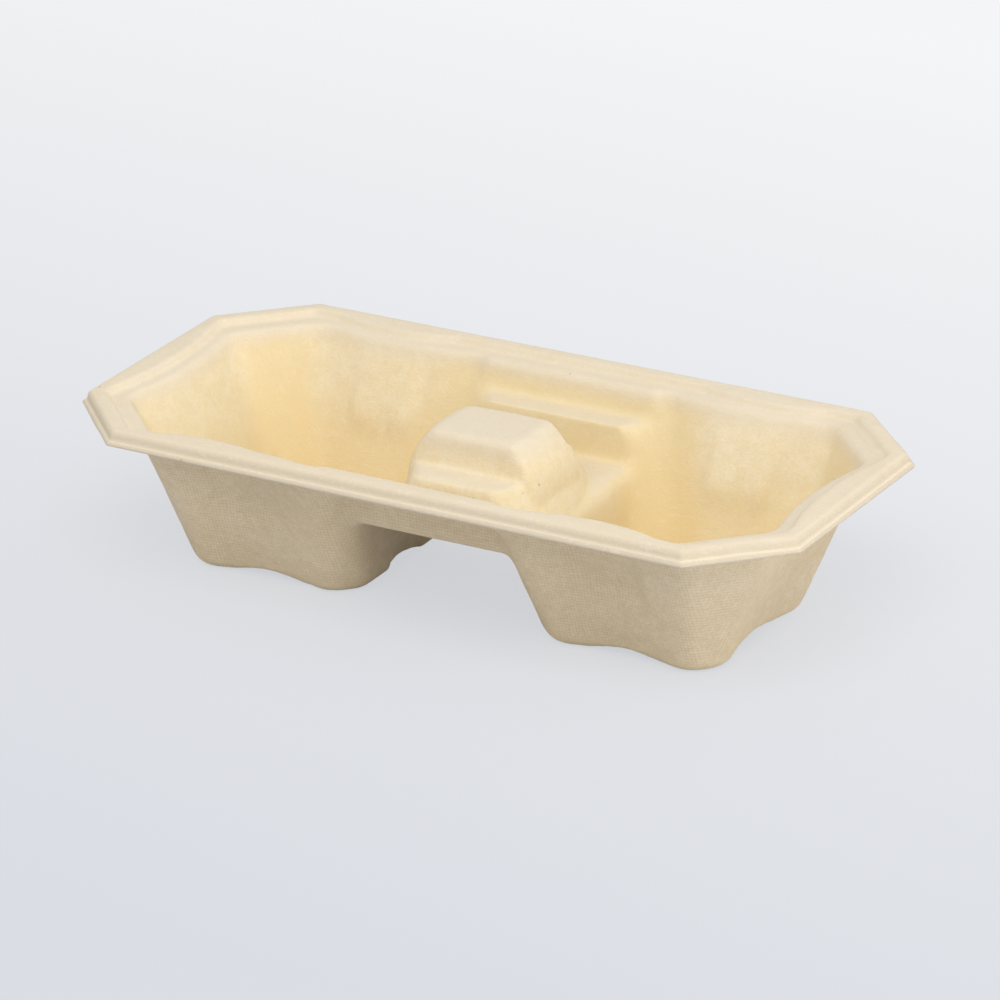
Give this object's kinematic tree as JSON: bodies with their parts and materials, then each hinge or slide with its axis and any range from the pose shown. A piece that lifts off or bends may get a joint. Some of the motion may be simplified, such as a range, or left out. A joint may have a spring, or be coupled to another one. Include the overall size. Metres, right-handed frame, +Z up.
{
  "type": "cup carrier",
  "caption": "Shallow moulded pulp tray with two lobed cup cells, a stepped hump between them and an eight-sided rim.",
  "frame": {"origin": "centre of the tray's footprint, on the plane that its eight feet stand on", "axes": "+X along the length, from one cup cell to the other; +Y across the width; +Z up, out of the cells"},
  "size_m": [0.22, 0.11, 0.047],
  "materials": {
    "pulp": "matt"
  },
  "bodies": {
    "root": {"cup_tray": "pulp"}
  },
  "joints": []
}
